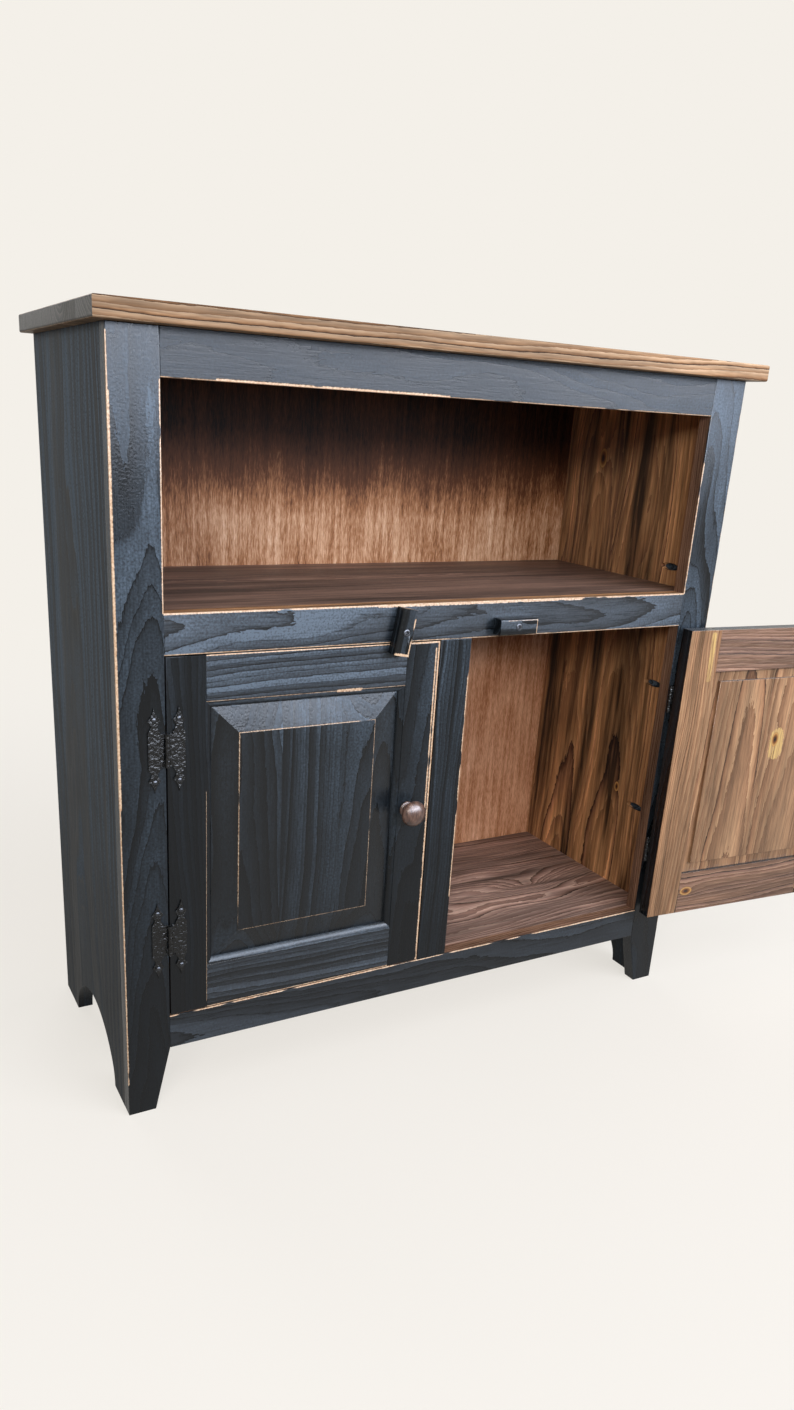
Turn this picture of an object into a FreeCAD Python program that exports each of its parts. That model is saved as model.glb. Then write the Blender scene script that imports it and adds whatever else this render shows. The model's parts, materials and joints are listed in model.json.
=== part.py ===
import FreeCAD
import Part
import Sketcher

# Low pine storage cupboard: an open cubby over two framed-panel doors on surface H hinges, held shut
# by turn buttons. Millimetres. The origin is the outer front corner of the left foot, on the floor:
# X runs right along the front, Y runs back into the cupboard and Z runs up.
import math
import os
from types import SimpleNamespace

DIMENSIONS = {
    # carcass
    "case_width": 800,
    "case_height": 847,
    "case_depth": 314,
    "board": 19,
    "top_thick": 19,
    "side_overhang": 15,
    "front_overhang": 20,
    "top_ease": 2,
    "back_thick": 6,
    "dado_depth": 6,
    # face frame
    "stile_width": 50,
    "toe_width": 32,
    "toe_gap": 79,
    "bottom_rail_height": 42,
    "mid_rail_height": 43,
    "top_rail_height": 44,
    "cubby_opening": 219,
    "centre_stile_width": 42,
    "stub_length": 12,
    "stub_thick": 6.5,
    "stub_shoulder": 6,
    "glue_room": 0.5,
    # arch between the feet of a side panel
    "front_foot": 62,
    "rear_foot": 64,
    "arch_rise": 71,
    "arch_haunch": 50,
    # pocket screws
    "pocket_angle": 15,
    "pocket_radius": 4.75,
    "pocket_aim": 12,
    "pocket_shoulder": 20,
    "pocket_bit": 70,
    "pocket_low": 257,
    "pocket_mid": 445,
    "pocket_high": 609,
    "screw_radius": 1.9,
    "screw_bite": 12,
    "screw_play": 0.1,
    "pan_radius": 4.3,
    "pan_thick": 2.4,
    # square brads through the plywood back and down through the top
    "brad_side": 1.6,
    "back_brad_length": 20,
    "top_brad_length": 45,
    "top_brad_front": 60,
    "top_brad_rear": 44,
    # doors
    "door_gap": 1.5,
    "door_stile": 50,
    "door_top_rail": 57,
    "door_bottom_rail": 62,
    "stick_width": 7,
    "stick_quirk": 1,
    "stick_depth": 6,
    "groove_front": 6.5,
    "groove_width": 6,
    "groove_depth": 8,
    "panel_room": 1,
    "panel_play": 0.2,
    "panel_bevel": 30,
    "panel_step": 0.5,
    "panel_back_border": 14.5,
    "panel_back_setback": 2.5,
    "right_open_angle": 175,
    # knobs
    "knob_backset": 30.5,
    "knob_height": 213,
    "knob_foot": 9.5,
    "knob_foot_thick": 1.5,
    "knob_cove": 2.5,
    "knob_neck": 6.5,
    "knob_neck_out": 9,
    "knob_rim": 16,
    "knob_rim_out": 17,
    "knob_out": 27,
    "knob_screw_radius": 2,
    "knob_screw_depth": 13,
    # H hinges
    "hinge_inset": 98,
    "pin_out": 4.3,
    "pin_radius": 1.3,
    "pin_play": 0.05,
    "pin_proud": 0.6,
    "barrel_radius": 2.8,
    "barrel_half": 18,
    "knuckle_play": 0.3,
    "leaf_thick": 1.8,
    "leaf_centre": 13.3,
    "leaf_half": 6.5,
    "leaf_body": 20,
    "leaf_neck": 3.4,
    "leaf_neck_start": 25,
    "leaf_neck_end": 27.5,
    "leaf_barb": 33,
    "leaf_tip": 46.5,
    "leaf_curve": 22,
    "nail_height": 34,
    "nail_side": 2.2,
    "nail_play": 0.1,
    "nail_head": 3.1,
    "nail_head_out": 1.9,
    "nail_crown": 1.6,
    "nail_bite": 12,
    # turn buttons
    "button_offset": 77,
    "button_rise": 13.5,
    "button_half_length": 26.5,
    "button_half_width": 9.75,
    "button_thick": 15,
    "button_ease": 3,
    "button_gap": 0.3,
    "button_play": 0.08,
    "button_screw_radius": 2.1,
    "button_screw_head": 4.2,
    "button_screw_bite": 15,
    "left_button_lean": 10,
    "right_button_lean": 90,
}

KNUCKLES = 5


class Size:
    """A length: its value, and the formula over the sheet's cells that keeps it current."""

    def __init__(self, value, formula):
        self.value = value
        self.formula = formula

    def joined(self, sign, other, value, swapped=False):
        first, second = (other, self) if swapped else (self, other)
        return Size(value, f"({first.formula} {sign} {second.formula})")

    def __add__(self, other):
        other = as_size(other)
        return self.joined("+", other, self.value + other.value)

    def __sub__(self, other):
        other = as_size(other)
        return self.joined("-", other, self.value - other.value)

    def __rsub__(self, other):
        other = as_size(other)
        return self.joined("-", other, other.value - self.value, swapped=True)

    def __mul__(self, other):
        other = as_size(other)
        return self.joined("*", other, self.value * other.value)

    def __truediv__(self, other):
        other = as_size(other)
        return self.joined("/", other, self.value / other.value)

    def __neg__(self):
        return Size(-self.value, f"(0 - {self.formula})")

    __radd__ = __add__
    __rmul__ = __mul__


def as_size(number):
    if isinstance(number, Size):
        return number
    return Size(number, f"({number})")


def root(size):
    return Size(math.sqrt(size.value), f"sqrt({size.formula})")


def make_sheet(doc):
    """Put every driving dimension in the sheet and return them as named sizes."""
    sheet = doc.addObject("Spreadsheet::Sheet", "Sizes")
    for row, (name, value) in enumerate(DIMENSIONS.items(), start=1):
        sheet.set(f"A{row}", name)
        sheet.set(f"B{row}", str(value))
        sheet.setAlias(f"B{row}", name)
    return SimpleNamespace(**{name: Size(value, f"Sizes.{name}") for name, value in DIMENSIONS.items()})


doc = FreeCAD.newDocument("Cupboard")
d = make_sheet(doc)
doc.recompute()

# Heights and widths that follow from the driving dimensions
rail_top = d.toe_gap + d.bottom_rail_height
upper_rail_bottom = d.case_height - d.top_rail_height
mid_rail_top = upper_rail_bottom - d.cubby_opening
mid_rail_bottom = mid_rail_top - d.mid_rail_height
opening_width = (d.case_width - 2 * d.stile_width - d.centre_stile_width) / 2
centre_left = d.stile_width + opening_width
back_face = d.case_depth - d.back_thick
inner_side = d.case_width - d.board

door_low = rail_top + d.door_gap
door_high = mid_rail_bottom - d.door_gap
door_width = opening_width - 2 * d.door_gap
hinge_edge = d.door_gap / 2
free_edge = hinge_edge + door_width
sight_near = hinge_edge + d.door_stile
sight_far = free_edge - d.door_stile
sight_low = door_low + d.door_bottom_rail
sight_high = door_high - d.door_top_rail
door_front = d.pin_out
door_back = d.pin_out + d.board
ovolo_fall = d.stick_depth - d.stick_quirk
ovolo_radius = (d.stick_width * d.stick_width + ovolo_fall * ovolo_fall) / (2 * ovolo_fall)

pin_x = d.stile_width + hinge_edge
hinge_heights = {"lower": door_low + d.hinge_inset, "upper": door_high - d.hinge_inset}
knob_x = free_edge - d.knob_backset
knob_z = door_low + d.knob_height
button_z = mid_rail_bottom + d.button_rise
nail_hole = d.nail_side + 2 * d.nail_play

# Each origin plane, and the way its sketches face along the axis that they are stacked on
FACING = {"XY": 1, "XZ": -1, "YZ": 1}


class Ring:
    """A circle in a sketch."""

    def __init__(self, x, y, radius):
        self.x = as_size(x)
        self.y = as_size(y)
        self.radius = as_size(radius)


def box(left, low, right, high):
    return [(left, low), (right, low), (right, high), (left, high)]


def square(x, y, side):
    return box(x - side / 2, y - side / 2, x + side / 2, y + side / 2)


def octagon(x, y, radius):
    turns = [math.radians(45 * corner) for corner in range(8)]
    return [(x + radius * math.cos(turn), y + radius * math.sin(turn)) for turn in turns]


def flipped(loop):
    """The loop mirrored across its vertical axis."""
    if isinstance(loop, Ring):
        return Ring(-loop.x, loop.y, loop.radius)
    return [(-as_size(x), y, *[-as_size(r) for r in bend]) for x, y, *bend in loop]


def swapped(loop):
    """The loop with its two coordinates exchanged, which also turns its arcs the other way."""
    return [(y, x, *[-as_size(r) for r in bend]) for x, y, *bend in loop]


class Piece:
    """One sub-part: a body built from sketches on its own origin planes.

    A hand of -1 builds the mirror image across X = 0. A level, low or high is a distance along the
    world axis that the sketch plane is square to.
    """

    def __init__(self, name, hand=1, at=(0, 0, 0), turn=None, axis=(0, 0, 1)):
        self.body = doc.addObject("PartDesign::Body", name)
        self.body.Label = name
        self.hand = hand
        spot = [as_size(c) for c in at]
        angle = as_size(turn if turn is not None else 0)
        self.body.Placement = FreeCAD.Placement(
            FreeCAD.Vector(*[c.value for c in spot]),
            FreeCAD.Rotation(FreeCAD.Vector(*axis), angle.value),
        )
        for letter, coordinate in zip("xyz", spot):
            self.body.setExpression(f"Placement.Base.{letter}", coordinate.formula)
        if turn is not None:
            self.body.setExpression("Placement.Rotation.Angle", angle.formula)

    def sketch(self, plane, level, loops, shift=(0, 0), turn=None):
        sketch = self.body.newObject("Sketcher::SketchObject", f"{self.body.Name}_sketch")
        origin_plane = next(f for f in self.body.Origin.OriginFeatures if f.Role == f"{plane}_Plane")
        sketch.AttachmentSupport = [(origin_plane, "")]
        sketch.MapMode = "FlatFace"
        across = self.hand if plane != "YZ" else 1
        offset = {"x": as_size(shift[0]) * across, "y": as_size(shift[1]), "z": level * FACING[plane]}
        for letter, distance in offset.items():
            sketch.setExpression(f"AttachmentOffset.Base.{letter}", distance.formula)
        if turn is not None:
            sketch.setExpression("AttachmentOffset.Rotation.Angle", as_size(turn).formula)
        for loop in loops:
            draw(sketch, flipped(loop) if across < 0 else loop)
        return sketch

    def span(self, plane, low, high):
        low, high = as_size(low), as_size(high)
        if plane == "YZ" and self.hand < 0:
            return -high, -low
        return low, high

    def pad(self, plane, low, high, *loops):
        low, high = self.span(plane, low, high)
        feature = self.body.newObject("PartDesign::Pad", f"{self.body.Name}_pad")
        feature.Profile = self.sketch(plane, low, loops)
        feature.Reversed = FACING[plane] < 0
        feature.setExpression("Length", (high - low).formula)
        return feature

    def loft(self, plane, first, last):
        """A solid with straight sides between two outlines, each given with its level."""
        ends = [self.sketch(plane, as_size(level), [loop]) for level, loop in (first, last)]
        feature = self.body.newObject("PartDesign::AdditiveLoft", f"{self.body.Name}_loft")
        feature.Profile = ends[0]
        feature.Sections = [ends[1]]
        feature.Ruled = True

    def cut(self, plane, low, high, *loops):
        low, high = self.span(plane, low, high)
        feature = self.body.newObject("PartDesign::Pocket", f"{self.body.Name}_cut")
        feature.Profile = self.sketch(plane, low, loops)
        feature.Reversed = FACING[plane] > 0
        feature.setExpression("Length", (high - low).formula)
        return feature

    def turned(self, kind, plane, level, shift, turn, profile):
        """A round form about the vertical axis of a sketch that is moved by shift and turned."""
        level, _ = self.span(plane, level, level)
        sketch = self.sketch(plane, level, [], shift, turn)
        draw(sketch, profile)
        feature = self.body.newObject(f"PartDesign::{kind}", f"{self.body.Name}_turned")
        feature.Profile = sketch
        feature.ReferenceAxis = (sketch, ["V_Axis"])
        feature.Angle = 360
        return feature

    def revolve(self, plane, level, shift, profile, turn=None):
        return self.turned("Revolution", plane, level, shift, turn, profile)

    def bore(self, plane, level, shift, profile, turn=None):
        return self.turned("Groove", plane, level, shift, turn, profile)

    def ease(self, feature, radius, chosen):
        """Round the edges of a feature that the test picks."""
        doc.recompute()
        edges = [f"Edge{n}" for n, e in enumerate(feature.Shape.Edges, start=1) if chosen(e.BoundBox)]
        rounded = self.body.newObject("PartDesign::Fillet", f"{self.body.Name}_ease")
        rounded.Base = (feature, edges)
        rounded.setExpression("Radius", radius.formula)


def arc_between(start, end, radius):
    """The shorter arc from start to end: it turns left for a positive radius, right for a negative."""
    chord = end - start
    rise = math.sqrt(radius * radius - chord.Length * chord.Length / 4)
    across = FreeCAD.Vector(-chord.y, chord.x, 0).normalize()
    centre = (start + end) * 0.5 + across * math.copysign(rise, radius)
    first, last = (start, end) if radius > 0 else (end, start)
    circle = Part.Circle(centre, FreeCAD.Vector(0, 0, 1), abs(radius))
    return Part.ArcOfCircle(circle, circle.parameter(first), circle.parameter(last))


def hold(sketch, kind, places, size):
    """Add a dimension to the sketch and bind it to its formula."""
    name = f"{kind}{sketch.ConstraintCount}"
    index = sketch.addConstraint(Sketcher.Constraint(kind, *places, size.value))
    sketch.renameConstraint(index, name)
    sketch.setExpression(f"Constraints.{name}", size.formula)


def draw(sketch, loop):
    """Draw a closed loop: a Ring, or corners (x, y) with a radius where an arc arrives."""
    if isinstance(loop, Ring):
        centre = FreeCAD.Vector(loop.x.value, loop.y.value, 0)
        circle = Part.Circle(centre, FreeCAD.Vector(0, 0, 1), loop.radius.value)
        edge = sketch.addGeometry(circle, False)
        hold(sketch, "DistanceX", (-1, 1, edge, 3), loop.x)
        hold(sketch, "DistanceY", (-1, 1, edge, 3), loop.y)
        hold(sketch, "Radius", (edge,), loop.radius)
        return
    corners = [tuple(as_size(number) for number in corner) for corner in loop]
    points = [FreeCAD.Vector(x.value, y.value, 0) for x, y, *_ in corners]
    ends = []
    for index, (_, _, *bend) in enumerate(corners):
        start, end = points[index - 1], points[index]
        if bend:
            edge = sketch.addGeometry(arc_between(start, end, bend[0].value), False)
            ends.append((edge, 1, 2) if bend[0].value > 0 else (edge, 2, 1))
        else:
            edge = sketch.addGeometry(Part.LineSegment(start, end), False)
            ends.append((edge, 1, 2))
    for index, (edge, _, finish) in enumerate(ends):
        following, start, _ = ends[(index + 1) % len(ends)]
        sketch.addConstraint(Sketcher.Constraint("Coincident", edge, finish, following, start))
        x, y, *bend = corners[index]
        hold(sketch, "DistanceX", (-1, 1, edge, finish), x)
        hold(sketch, "DistanceY", (-1, 1, edge, finish), y)
        if bend:
            hold(sketch, "Radius", (edge,), bend[0] if bend[0].value > 0 else -bend[0])


# ---- pocket screws: the axis leaves a board's edge at the aim point and slopes to the inner face ----

shank_hole = d.screw_radius + d.screw_play
bore_start = as_size(-1)
pocket_profile = [
    (0, bore_start),
    (shank_hole, bore_start),
    (shank_hole, d.pocket_shoulder),
    (d.pocket_radius, d.pocket_shoulder),
    (d.pocket_radius, d.pocket_bit),
    (0, d.pocket_bit),
]
pilot_profile = box(0, -d.screw_bite - 1, shank_hole, 1)
pocket_screw_profile = [
    (0, -d.screw_bite),
    (d.screw_radius, -d.screw_bite),
    (d.screw_radius, d.pocket_shoulder),
    (d.pan_radius, d.pocket_shoulder),
    (d.pan_radius, d.pocket_shoulder + d.pan_thick),
    (0, d.pocket_shoulder + d.pan_thick),
]
aim_x = d.board - d.pocket_aim
pocket_heights = [d.pocket_low, d.pocket_mid, d.pocket_high]


def along_frame_screws(make, profile, hand):
    """Run make for each screw that joins a side panel to its stile."""
    for height in pocket_heights:
        make("XY", height, (aim_x, d.board), profile, turn=-hand * d.pocket_angle)


# ---- brads: through the back into the sides and the shelves, and through the top into the sides ----

brad_hole = d.brad_side + 2 * d.nail_play
back_brad_tip = d.case_depth - d.back_brad_length
brad_x = 0.75 * d.board
back_low = rail_top - d.board
back_height = d.case_height - back_low
brad_heights = [back_low + share * back_height for share in (0.2, 0.5, 0.8)]
shelf_brads = [d.case_width / 3, 2 * d.case_width / 3]
brad_spots = [(x, z) for x in (brad_x, d.case_width - brad_x) for z in brad_heights]
brad_spots += [(x, top - d.board / 2) for x in shelf_brads for top in (rail_top, mid_rail_top)]

top_face = d.case_height + d.top_thick
top_brad_tip = top_face - d.top_brad_length
top_brad_end = d.case_depth - d.top_brad_rear
top_brad_depths = [d.top_brad_front, (d.top_brad_front + top_brad_end) / 2, top_brad_end]
top_brad_spots = [(x, y) for x in (d.board / 2, d.case_width - d.board / 2) for y in top_brad_depths]


# ---- carcass ----


def arch_loop():
    """A basket arch on the floor: two haunches of one radius and a crown that runs into both."""
    half = (d.case_depth - d.front_foot - d.rear_foot) / 2
    middle = d.front_foot + half
    haunch = d.arch_haunch
    reach = half - haunch
    crown = (reach * reach + d.arch_rise * d.arch_rise - haunch * haunch) / (2 * (d.arch_rise - haunch))
    out = crown * reach / (crown - haunch)
    up = d.arch_rise - crown + root(crown * crown - out * out)
    return [
        (middle - half, -1),
        (middle + half, -1),
        (middle + half, 0),
        (middle + out, up, haunch),
        (middle - out, up, crown),
        (middle - half, 0, haunch),
    ]


def side_panel(name, hand):
    panel = Piece(name, hand, at=(0 if hand > 0 else d.case_width, 0, 0))
    panel.pad("YZ", 0, d.board, box(d.board, 0, d.case_depth, d.case_height))
    panel.cut("YZ", -1, d.board + 1, arch_loop())
    dado = d.board - d.dado_depth
    for shelf_top in (rail_top, mid_rail_top):
        housing = box(d.board - 1, shelf_top - d.board, back_face, shelf_top)
        panel.cut("YZ", dado, d.board + 1, housing)
    rebate = box(back_face, rail_top - d.board, d.case_depth + 1, d.case_height + 1)
    panel.cut("YZ", d.board / 2, d.board + 1, rebate)
    along_frame_screws(panel.bore, pocket_profile, hand)
    back_brads = [square(brad_x, z, brad_hole) for z in brad_heights]
    panel.cut("XZ", back_brad_tip, back_face + 1, *back_brads)
    top_brads = [square(d.board / 2, y, brad_hole) for y in top_brad_depths]
    panel.cut("XY", top_brad_tip, d.case_height + 1, *top_brads)


def shelf(name, top):
    dado = d.board - d.dado_depth
    board = Piece(name, at=(dado, d.board, top - d.board))
    width = d.case_width - 2 * dado
    depth = back_face - d.board
    board.pad("XY", 0, d.board, box(0, 0, width, depth))
    brads = [square(x - dado, d.board / 2, brad_hole) for x in shelf_brads]
    board.cut("XZ", back_brad_tip - d.board, depth + 1, *brads)


def back_panel():
    panel = Piece("back_panel")
    inset = d.board / 2
    panel.pad("XZ", back_face, d.case_depth, box(inset, back_low, d.case_width - inset, d.case_height))
    holes = [square(x, z, brad_hole) for x, z in brad_spots]
    panel.cut("XZ", back_face - 1, d.case_depth + 1, *holes)


def back_panel_brads():
    brads = Piece("back_panel_brads")
    brads.pad("XZ", back_brad_tip, d.case_depth, *[square(x, z, d.brad_side) for x, z in brad_spots])


def top_board():
    board = Piece("top_board")
    outline = box(-d.side_overhang, -d.front_overhang, d.case_width + d.side_overhang, d.case_depth)
    slab = board.pad("XY", d.case_height, top_face, outline)
    rear = d.case_depth.value
    board.ease(slab, d.top_ease, lambda e: e.ZLength < 1 and e.YMin < rear - 1)
    holes = [square(x, y, brad_hole) for x, y in top_brad_spots]
    board.cut("XY", d.case_height - 1, top_face + 1, *holes)


def top_brads():
    brads = Piece("top_brads")
    brads.pad("XY", top_brad_tip, top_face, *[square(x, y, d.brad_side) for x, y in top_brad_spots])


def stub(low, high):
    """The face of a rail's stub tenon across the frame: set in from both faces and both edges."""
    near = (d.board - d.stub_thick) / 2
    return box(near, low + d.stub_shoulder, near + d.stub_thick, high - d.stub_shoulder)


rails = {
    "bottom_rail": (d.toe_gap, rail_top),
    "mid_rail": (mid_rail_bottom, mid_rail_top),
    "top_rail": (upper_rail_bottom, d.case_height),
}


def frame_stile(name, hand):
    """A full-height stile that tapers to its foot, with a mortise for each rail."""
    stile = Piece(name, hand, at=(0 if hand > 0 else d.case_width, 0, 0))
    outline = [
        (0, 0),
        (d.toe_width, 0),
        (d.stile_width, d.toe_gap),
        (d.stile_width, d.case_height),
        (0, d.case_height),
    ]
    stile.pad("XZ", 0, d.board, outline)
    for low, high in rails.values():
        mortise = d.stile_width - d.stub_length - d.glue_room
        stile.cut("YZ", mortise, d.stile_width + 1, stub(low, high))
    along_frame_screws(stile.bore, pilot_profile, hand)
    for height in hinge_heights.values():
        for nail in (-d.nail_height, d.nail_height):
            hole = square(pin_x - d.leaf_centre, height + nail, nail_hole)
            stile.cut("XZ", -1, d.nail_bite, hole)


def frame_rail(name):
    """A rail between the outer stiles, with a stub tenon at each end."""
    low, high = rails[name]
    rail = Piece(name)
    left, right = d.stile_width, d.case_width - d.stile_width
    rail.pad("XZ", 0, d.board, box(left, low, right, high))
    rail.pad("YZ", left - d.stub_length, left, stub(low, high))
    rail.pad("YZ", right, right + d.stub_length, stub(low, high))
    return rail


def centre_stub():
    near = (d.board - d.stub_thick) / 2
    left = centre_left + d.stub_shoulder
    right = centre_left + d.centre_stile_width - d.stub_shoulder
    return box(left, near, right, near + d.stub_thick)


def face_frame():
    frame_stile("left_stile", 1)
    frame_stile("right_stile", -1)
    frame_rail("top_rail")
    mid = frame_rail("mid_rail")
    mid.cut("XY", mid_rail_bottom - 1, mid_rail_bottom + d.stub_length + d.glue_room, centre_stub())
    screws = [Ring(x, button_z, d.button_screw_radius + d.screw_play) for x in button_places.values()]
    mid.cut("XZ", -1, d.button_screw_bite, *screws)
    bottom = frame_rail("bottom_rail")
    bottom.cut("XY", rail_top - d.stub_length - d.glue_room, rail_top + 1, centre_stub())
    centre = Piece("centre_stile")
    right = centre_left + d.centre_stile_width
    centre.pad("XZ", 0, d.board, box(centre_left, rail_top, right, mid_rail_bottom))
    centre.pad("XY", rail_top - d.stub_length, rail_top, centre_stub())
    centre.pad("XY", mid_rail_bottom, mid_rail_bottom + d.stub_length, centre_stub())


def pocket_screws(name, hand):
    """The screws that run from one side panel forward into its stile."""
    screws = Piece(name, hand, at=(0 if hand > 0 else d.case_width, 0, 0))
    along_frame_screws(screws.revolve, pocket_screw_profile, hand)


# ---- doors: each is drawn about its hinge pin, closed, and then swung to where it stands ----


class DoorSide:
    """Where one door hangs: the side's hand and the angle at which it stands open."""

    def __init__(self, name, hand, swing):
        self.name = name
        self.hand = hand
        self.pin_at = (pin_x if hand > 0 else d.case_width - pin_x, -d.pin_out, 0)
        self.swing = swing

    def piece(self, name, height=0):
        """A piece that swings with the door."""
        x, y, _ = self.pin_at
        return Piece(f"{self.name}_{name}", self.hand, at=(x, y, height), turn=self.swing)

    def fixed_piece(self, name, height):
        """A piece that stays on the case beside the door."""
        x, y, _ = self.pin_at
        return Piece(f"{self.name}_{name}", self.hand, at=(x, y, height))


def stick_section(sight, outer, side):
    """The section of a door frame member, across its width and its thickness.

    The panel side has a quirked ovolo on the front edge and a groove. Side is 1 where the panel
    lies on the high side of the sight edge.
    """
    groove = door_front + d.groove_front
    return [
        (outer, door_front),
        (sight - side * d.stick_width, door_front),
        (sight - side * d.stick_width, door_front + d.stick_quirk),
        (sight, door_front + d.stick_depth, side * ovolo_radius),
        (sight, groove),
        (sight - side * d.groove_depth, groove),
        (sight - side * d.groove_depth, groove + d.groove_width),
        (sight, groove + d.groove_width),
        (sight, door_back),
        (outer, door_back),
    ]


def cope_loops(sight, side):
    """What a coped rail end gives up to the stile: its moulded front and its square back."""
    groove = door_front + d.groove_front
    end = sight - side * (d.groove_depth + 1)
    moulded = [
        (end, door_front - 1),
        (sight - side * d.stick_width, door_front - 1),
        (sight - side * d.stick_width, door_front + d.stick_quirk),
        (sight, door_front + d.stick_depth, side * ovolo_radius),
        (sight, groove),
        (end, groove),
    ]
    return moulded, box(end, groove + d.groove_width, sight, door_back + 1)


def knob_hole():
    return Ring(knob_x, knob_z, d.knob_screw_radius + d.screw_play)


def door_frame(door):
    hinge_stile = door.piece("door_hinge_stile")
    hinge_stile.pad("XY", door_low, door_high, stick_section(sight_near, hinge_edge, 1))
    for height in hinge_heights.values():
        for nail in (-d.nail_height, d.nail_height):
            hole = square(d.leaf_centre, height + nail, nail_hole)
            hinge_stile.cut("XZ", door_front - 1, door_front + d.nail_bite, hole)
    free_stile = door.piece("door_free_stile")
    free_stile.pad("XY", door_low, door_high, stick_section(sight_far, free_edge, -1))
    free_stile.cut("XZ", door_front - 1, door_back + 1, knob_hole())
    door_rail(door, "door_top_rail", sight_high, door_high, -1)
    door_rail(door, "door_bottom_rail", sight_low, door_low, 1)


def door_rail(door, name, sight, outer, side):
    """A rail whose ends fill the stiles' grooves and are coped over their moulding."""
    rail = door.piece(name)
    reach = d.groove_depth - d.panel_room
    rail.pad("YZ", sight_near - reach, sight_far + reach, swapped(stick_section(sight, outer, side)))
    low, high = (outer, sight) if side > 0 else (sight, outer)
    for stile_sight, stile_side in ((sight_near, 1), (sight_far, -1)):
        rail.cut("XY", low - 1, high + 1, *cope_loops(stile_sight, stile_side))


def bevel_loop(sight, side):
    """What the cutter takes off the front of one edge, leaving a step, a bevel and a tongue."""
    tongue = door_front + d.groove_front + d.panel_play
    edge = sight - side * (d.groove_depth + 1)
    return [
        (edge, door_front - 1),
        (sight + side * d.panel_bevel, door_front - 1),
        (sight + side * d.panel_bevel, door_front + d.panel_step),
        (sight + side, tongue),
        (edge, tongue),
    ]


def back_rebate_loop(sight, side):
    """What comes off the back of one edge, so that the tongue fits the groove."""
    tongue = door_front + d.groove_front + d.groove_width - d.panel_play
    return box(sight - side * (d.groove_depth + 1), tongue, sight + side * d.panel_back_border, door_back)


def door_panel(door):
    """A panel raised on both faces, loose in the grooves: fielded in front, rebated behind."""
    panel = door.piece("door_panel")
    reach = d.groove_depth - d.panel_room
    outline = box(sight_near - reach, sight_low - reach, sight_far + reach, sight_high + reach)
    panel.pad("XZ", door_front, door_back - d.panel_back_setback, outline)
    for sight, side in ((sight_near, 1), (sight_far, -1)):
        loops = (bevel_loop(sight, side), back_rebate_loop(sight, side))
        panel.cut("XY", door_low, door_high, *loops)
    for sight, side in ((sight_low, 1), (sight_high, -1)):
        loops = (bevel_loop(sight, side), back_rebate_loop(sight, side))
        panel.cut("YZ", hinge_edge, free_edge, *[swapped(loop) for loop in loops])


def knob(door):
    """A turned mushroom knob, hollow for its screw. The profile runs out from the door's face."""
    turned = door.piece("knob")
    screw = d.knob_screw_radius + d.screw_play
    crown = d.knob_out - d.knob_rim_out
    dome = (d.knob_rim * d.knob_rim + crown * crown) / (2 * crown)
    profile = [
        (0, -d.knob_screw_depth),
        (screw, -d.knob_screw_depth),
        (screw, 0),
        (d.knob_foot, 0),
        (d.knob_foot, -d.knob_foot_thick),
        (d.knob_neck, -d.knob_foot_thick - d.knob_cove),
        (d.knob_neck, -d.knob_neck_out),
        (d.knob_rim, -d.knob_rim_out),
        (0, -d.knob_out, -dome),
    ]
    turned.revolve("XY", knob_z, (knob_x, d.pin_out), profile)


def knob_screw(door):
    screw = door.piece("knob_screw")
    head = d.board + d.pan_thick
    profile = [
        (0, -d.knob_screw_depth + 1),
        (d.knob_screw_radius, -d.knob_screw_depth + 1),
        (d.knob_screw_radius, d.board),
        (d.pan_radius, d.board),
        (d.pan_radius, head),
        (0, head),
    ]
    screw.revolve("XY", knob_z, (knob_x, d.pin_out), profile)


# ---- H hinges: drawn about the pin, with Z = 0 at mid-height ----


def leaf_outline(side):
    """Half of the H: an upright with an arrowhead at each end, and a tab towards the pin."""
    inner = d.leaf_centre - d.leaf_half
    tab = d.barrel_radius + 2 * d.knuckle_play
    upper = [
        (d.leaf_centre + d.leaf_half, d.leaf_body),
        (d.leaf_centre + d.leaf_neck, d.leaf_neck_start),
        (d.leaf_centre + d.leaf_neck, d.leaf_neck_end),
        (d.leaf_centre + d.leaf_half, d.leaf_barb),
        (d.leaf_centre, d.leaf_tip, -d.leaf_curve),
        (d.leaf_centre - d.leaf_half, d.leaf_barb, -d.leaf_curve),
        (d.leaf_centre - d.leaf_neck, d.leaf_neck_end),
        (d.leaf_centre - d.leaf_neck, d.leaf_neck_start),
        (inner, d.leaf_body),
        (inner, d.barrel_half),
        (tab, d.barrel_half),
    ]
    lower = [
        (tab, -d.barrel_half),
        (inner, -d.barrel_half),
        (inner, -d.leaf_body),
        (d.leaf_centre - d.leaf_neck, -d.leaf_neck_start),
        (d.leaf_centre - d.leaf_neck, -d.leaf_neck_end),
        (d.leaf_centre - d.leaf_half, -d.leaf_barb),
        (d.leaf_centre, -d.leaf_tip, -d.leaf_curve),
        (d.leaf_centre + d.leaf_half, -d.leaf_barb, -d.leaf_curve),
        (d.leaf_centre + d.leaf_neck, -d.leaf_neck_end),
        (d.leaf_centre + d.leaf_neck, -d.leaf_neck_start),
        (d.leaf_centre + d.leaf_half, -d.leaf_body),
    ]
    outline = upper + lower
    return outline if side > 0 else flipped(outline)


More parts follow.
